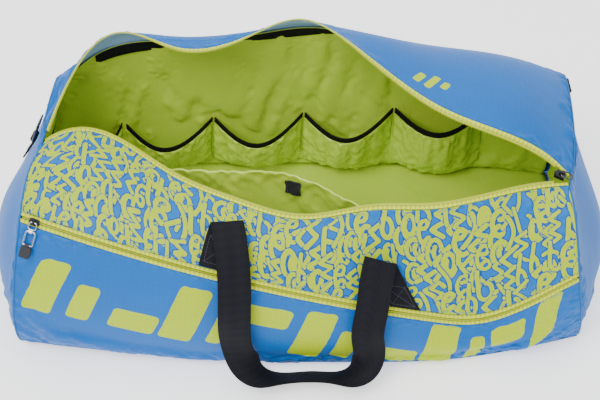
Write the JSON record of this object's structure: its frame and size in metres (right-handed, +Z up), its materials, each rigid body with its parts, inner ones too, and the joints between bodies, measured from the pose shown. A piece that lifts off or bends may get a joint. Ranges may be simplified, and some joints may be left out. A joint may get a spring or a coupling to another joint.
{
  "type": "racket tournament bag",
  "caption": "Soft rectangular sports bag standing open: zipped mouth, front zip pocket, webbing handles, lined bay with pouches and divider.",
  "frame": {"origin": "centre of the base's underside", "axes": "+X along the bag's length to its right end, front towards -Y, +Z up"},
  "size_m": [0.7941, 0.4541, 0.2955],
  "materials": {
    "printed_cloth": "coated, printed",
    "pocket_cloth": "coated, printed",
    "blue_cloth": "coated, semi-matte",
    "board": "matte",
    "elastic": "matte ribbed",
    "binding": "matte ribbed",
    "lining": "shiny nylon",
    "hook_and_loop": "matte",
    "zip_coil": "satin",
    "zip_tape": "woven",
    "ring_metal": "dark satin",
    "slider_metal": "dark satin",
    "pull_metal": "satin",
    "pull_rubber": "matte",
    "webbing": "matte ribbed"
  },
  "bodies": {
    "bag": {"back_lining": "lining", "back_panel": "blue_cloth", "base_board": "board", "base_lining": "lining", "base_panel": "blue_cloth", "front_left_anchor": "webbing", "front_lining": "lining", "front_pocket_panel": "pocket_cloth", "front_right_anchor": "webbing", "front_upper_panel": "printed_cloth", "front_zip_coil": "zip_coil", "front_zip_tape": "zip_tape", "left_end_panel": "blue_cloth", "left_lining": "lining", "left_ring_tab": "webbing", "lid_panel": "blue_cloth", "lid_zip_coil": "zip_coil", "lid_zip_tape": "zip_tape", "lining_binding": "binding", "pocket_zip_coil": "zip_coil", "pocket_zip_lower_tape": "zip_tape", "pocket_zip_upper_tape": "zip_tape", "pouch_1": "lining", "pouch_1_elastic": "elastic", "pouch_2": "lining", "pouch_2_elastic": "elastic", "pouch_3": "lining", "pouch_3_elastic": "elastic", "pouch_4": "lining", "pouch_4_elastic": "elastic", "pouch_5": "lining", "pouch_5_elastic": "elastic", "rear_left_anchor": "webbing", "rear_right_anchor": "webbing", "right_end_panel": "blue_cloth", "right_lining": "lining", "right_ring_tab": "webbing"},
    "main_slider_body": {"main_slider": "slider_metal"},
    "main_pull": {"main_pull_ring": "pull_metal"},
    "pocket_slider_body": {"pocket_slider": "slider_metal"},
    "pull_link": {"pocket_pull_link": "pull_metal"},
    "pull_frame": {"pocket_pull_frame": "pull_metal"},
    "pull_tab": {"pocket_pull_tab": "pull_rubber"},
    "front_loop": {"front_handle": "webbing"},
    "rear_loop": {"rear_handle": "webbing"},
    "left_ring_body": {"left_ring": "ring_metal"},
    "right_ring_body": {"right_ring": "ring_metal"},
    "divider_body": {"divider": "lining", "divider_patch": "hook_and_loop"}
  },
  "joints": [
    {"name": "main_slider_travel", "type": "slide", "parent": "bag", "child": "main_slider_body", "axis": [0.9252, -0.2459, -0.2889], "range_m": [0, 0.003]},
    {"name": "main_pull_swing", "type": "hinge", "parent": "main_slider_body", "child": "main_pull", "pos_m": [0.31782, -0.05518, 0.21518], "axis": [0.2796, 0.9567, 0.0811], "range_deg": [-170, 0]},
    {"name": "pocket_slider_travel", "type": "hinge", "parent": "bag", "child": "pocket_slider_body", "pos_m": [-0.06609, 0.8072, -0.3355], "axis": [0.2524, 0.4277, 0.868], "range_deg": [0, 10]},
    {"name": "pull_link_swing", "type": "hinge", "parent": "pocket_slider_body", "child": "pull_link", "pos_m": [-0.31924, -0.11597, 0.19296], "axis": [0.9395, -0.3229, -0.114], "range_deg": [-100, 0]},
    {"name": "pull_frame_swing", "type": "hinge", "parent": "pull_link", "child": "pull_frame", "pos_m": [-0.32276, -0.12312, 0.18425], "axis": [0.9395, -0.3229, -0.114], "range_deg": [-80, 0]},
    {"name": "pull_tab_swing", "type": "hinge", "parent": "pull_frame", "child": "pull_tab", "pos_m": [-0.32782, -0.13342, 0.17171], "axis": [0.9395, -0.3229, -0.114], "range_deg": [-80, 0]},
    {"name": "front_handle_swing", "type": "hinge", "parent": "bag", "child": "front_loop", "pos_m": [-0.08711, -0.11778, 0.19702], "axis": [0.9688, -0.1902, -0.1587], "range_deg": [-150, 0]},
    {"name": "rear_handle_swing", "type": "hinge", "parent": "bag", "child": "rear_loop", "pos_m": [-0.07785, 0.18058, 0.17761], "axis": [0.9998, 0.0189, 0.0021], "range_deg": [0, 140]},
    {"name": "left_ring_swing", "type": "hinge", "parent": "bag", "child": "left_ring_body", "pos_m": [-0.34385, 0.05282, 0.17049], "axis": [0.0298, 0.9418, -0.3349], "range_deg": [-140, 0]},
    {"name": "right_ring_swing", "type": "hinge", "parent": "bag", "child": "right_ring_body", "pos_m": [0.35837, 0.14409, 0.17407], "axis": [-0.0924, 0.9847, 0.148], "range_deg": [-140, 0]},
    {"name": "divider_lean", "type": "hinge", "parent": "bag", "child": "divider_body", "pos_m": [0, -0.0198, 0.0095], "axis": [1, 0, 0], "range_deg": [-12, 12]}
  ]
}
